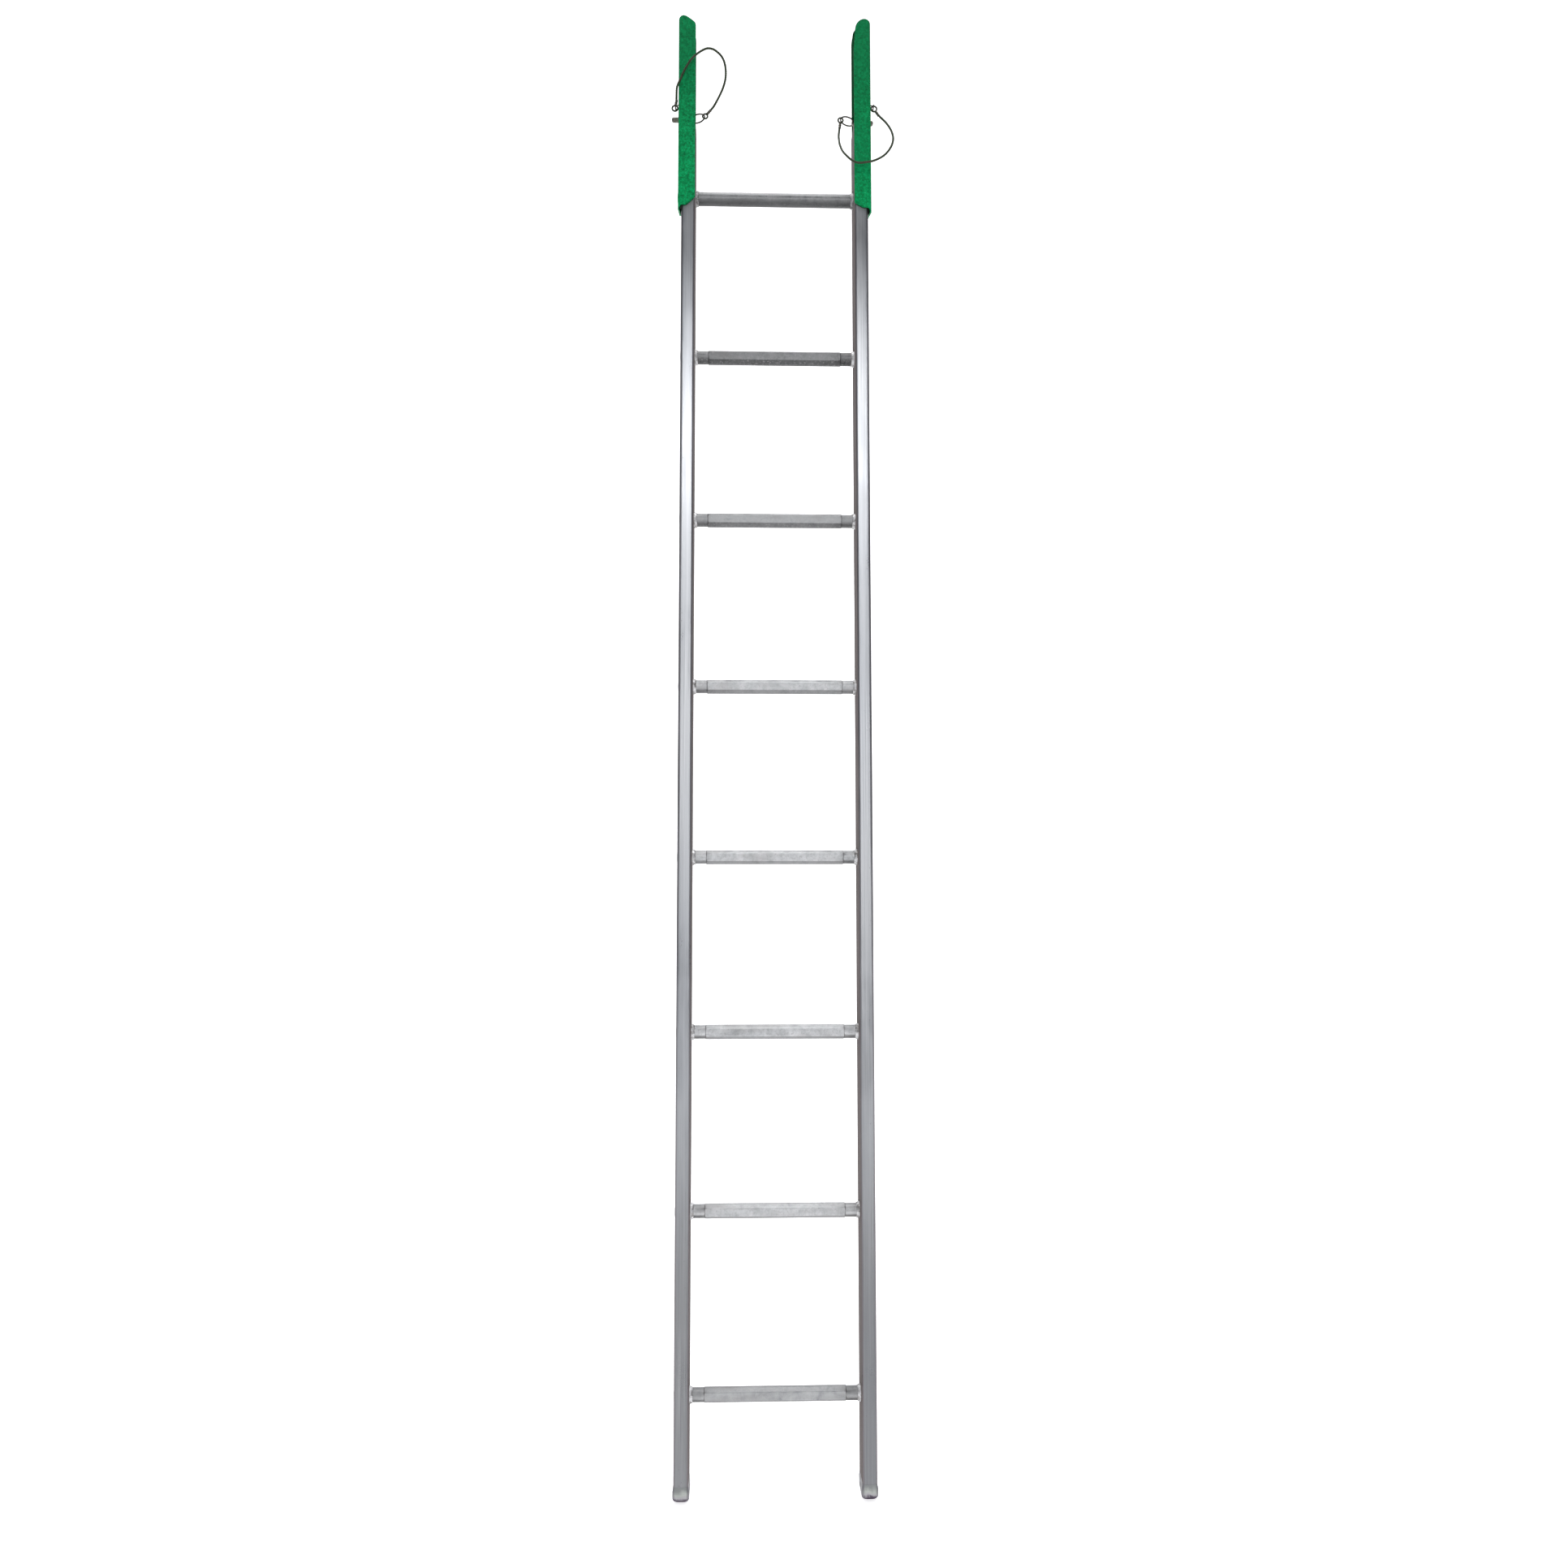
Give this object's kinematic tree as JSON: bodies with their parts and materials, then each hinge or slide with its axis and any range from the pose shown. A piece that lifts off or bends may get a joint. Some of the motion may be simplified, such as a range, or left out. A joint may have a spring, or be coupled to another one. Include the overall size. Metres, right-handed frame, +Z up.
{
  "type": "ladder section",
  "caption": "Straight aluminium ladder section with box rails, flatted rungs, painted U-channel rail sockets, lock pins on wire-rope lanyards and rounded feet with cross holes.",
  "frame": {"origin": "on the floor, midway between the two feet", "axes": "+Z up along the rails, +X to the right seen from the front, front towards -Y"},
  "size_m": [0.4108, 0.084, 2.667],
  "materials": {
    "rail_aluminium": "drawn, lightly marked",
    "rung_aluminium": "drawn, dulled by wear",
    "top_rung_aluminium": "drawn, dull",
    "weld_bead": "bright weld bead",
    "green_paint": "semi-gloss paint",
    "foot_aluminium": "worn",
    "pin_steel": "dulled",
    "ring_steel": "dulled",
    "dark_steel": "dull",
    "wire_rope": "stranded wire, dark",
    "crimp_metal": "pressed sleeve"
  },
  "bodies": {
    "frame": {"rail_left": "rail_aluminium", "rail_right": "rail_aluminium", "rung_1": "rung_aluminium", "rung_2": "rung_aluminium", "rung_3": "rung_aluminium", "rung_4": "rung_aluminium", "rung_5": "rung_aluminium", "rung_6": "rung_aluminium", "rung_7": "rung_aluminium", "rung_8": "top_rung_aluminium", "neck_welds_left": "weld_bead", "neck_welds_right": "weld_bead", "end_welds_left": "weld_bead", "end_welds_right": "weld_bead", "socket_left": "green_paint", "socket_right": "green_paint", "socket_spacer_left": "dark_steel", "socket_spacer_right": "dark_steel", "socket_tenon_left": "green_paint", "socket_tenon_right": "green_paint", "foot_plug_left": "foot_aluminium", "foot_plug_right": "foot_aluminium", "anchor_staple_left": "dark_steel", "anchor_staple_right": "dark_steel", "anchor_eye_left": "wire_rope", "anchor_eye_right": "wire_rope", "anchor_crimp_left": "crimp_metal", "anchor_crimp_right": "crimp_metal", "lanyard_left": "wire_rope", "lanyard_right": "wire_rope"},
    "pin_left": {"lock_pin_left": "pin_steel"},
    "ring_left": {"pin_ring_left": "ring_steel", "ring_eye_left": "wire_rope", "ring_crimp_left": "crimp_metal"},
    "pin_right": {"lock_pin_right": "pin_steel"},
    "ring_right": {"pin_ring_right": "ring_steel", "ring_eye_right": "wire_rope", "ring_crimp_right": "crimp_metal"}
  },
  "joints": [
    {"name": "pin_slide_left", "type": "slide", "parent": "frame", "child": "pin_left", "axis": [1, 0, 0], "range_m": [-0.01, 0.045], "deforming": ["lanyard_left"]},
    {"name": "ring_swing_left", "type": "hinge", "parent": "pin_left", "child": "ring_left", "pos_m": [-0.1555, 0, 2.4548], "axis": [0, -1, 0], "range_deg": [-35, 65]},
    {"name": "pin_slide_right", "type": "slide", "parent": "frame", "child": "pin_right", "axis": [-1, 0, 0], "range_m": [-0.01, 0.0385], "deforming": ["lanyard_right"]},
    {"name": "ring_swing_right", "type": "hinge", "parent": "pin_right", "child": "ring_right", "pos_m": [0.149, 0, 2.4548], "axis": [0, 1, 0], "range_deg": [-12, 65]}
  ]
}
